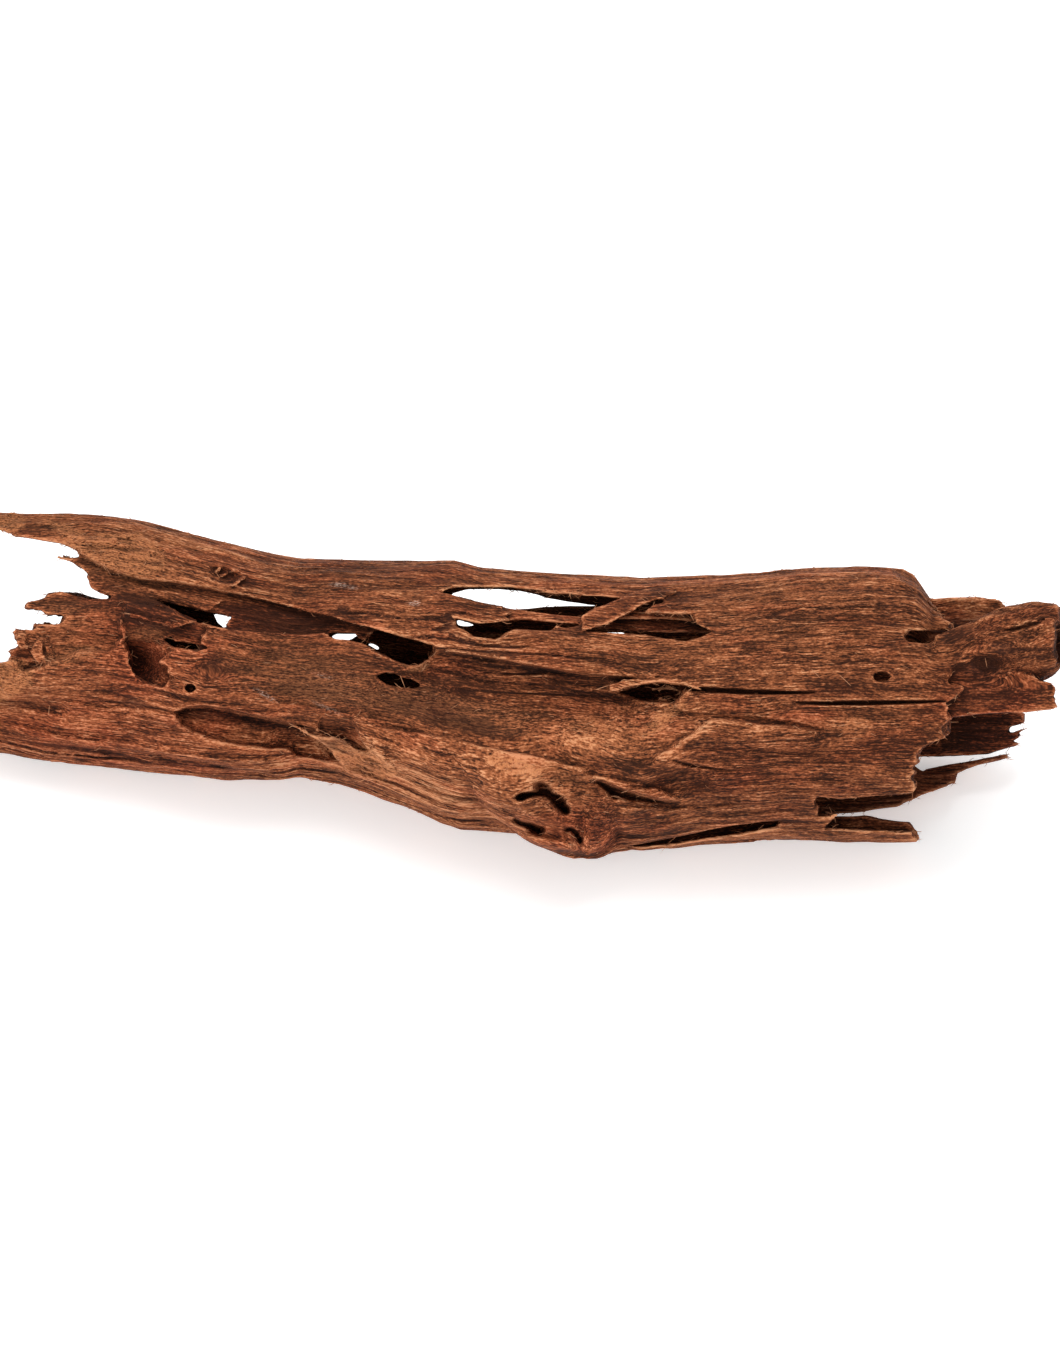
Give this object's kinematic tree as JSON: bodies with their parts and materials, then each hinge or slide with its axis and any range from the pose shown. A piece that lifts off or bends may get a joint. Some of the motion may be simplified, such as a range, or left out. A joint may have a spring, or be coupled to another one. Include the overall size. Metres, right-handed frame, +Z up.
{
  "type": "mangrove root",
  "caption": "Hollow, weathered mangrove root lying on its side, forked at one end, with windows, a knot, splinters and a broken-off side root.",
  "frame": {"origin": "middle of the root's length and width, on the surface that it lies on", "axes": "+X along the root from the forked end to the side root's end, +Z up, and -Y towards the side with the windows and the knot"},
  "size_m": [0.4438, 0.1566, 0.108],
  "materials": {
    "limb_wood": "dry, weathered red-brown wood, lighter and fuzzy where it is torn",
    "trunk_wood": "dry, weathered red-brown wood with an open grain, dark inside the hollow",
    "stub_wood": "dry, weathered dark brown wood with a broken end"
  },
  "bodies": {
    "root": {"upper_limb": "limb_wood", "lower_limb": "limb_wood", "trunk": "trunk_wood", "end_stub": "stub_wood"}
  },
  "joints": []
}
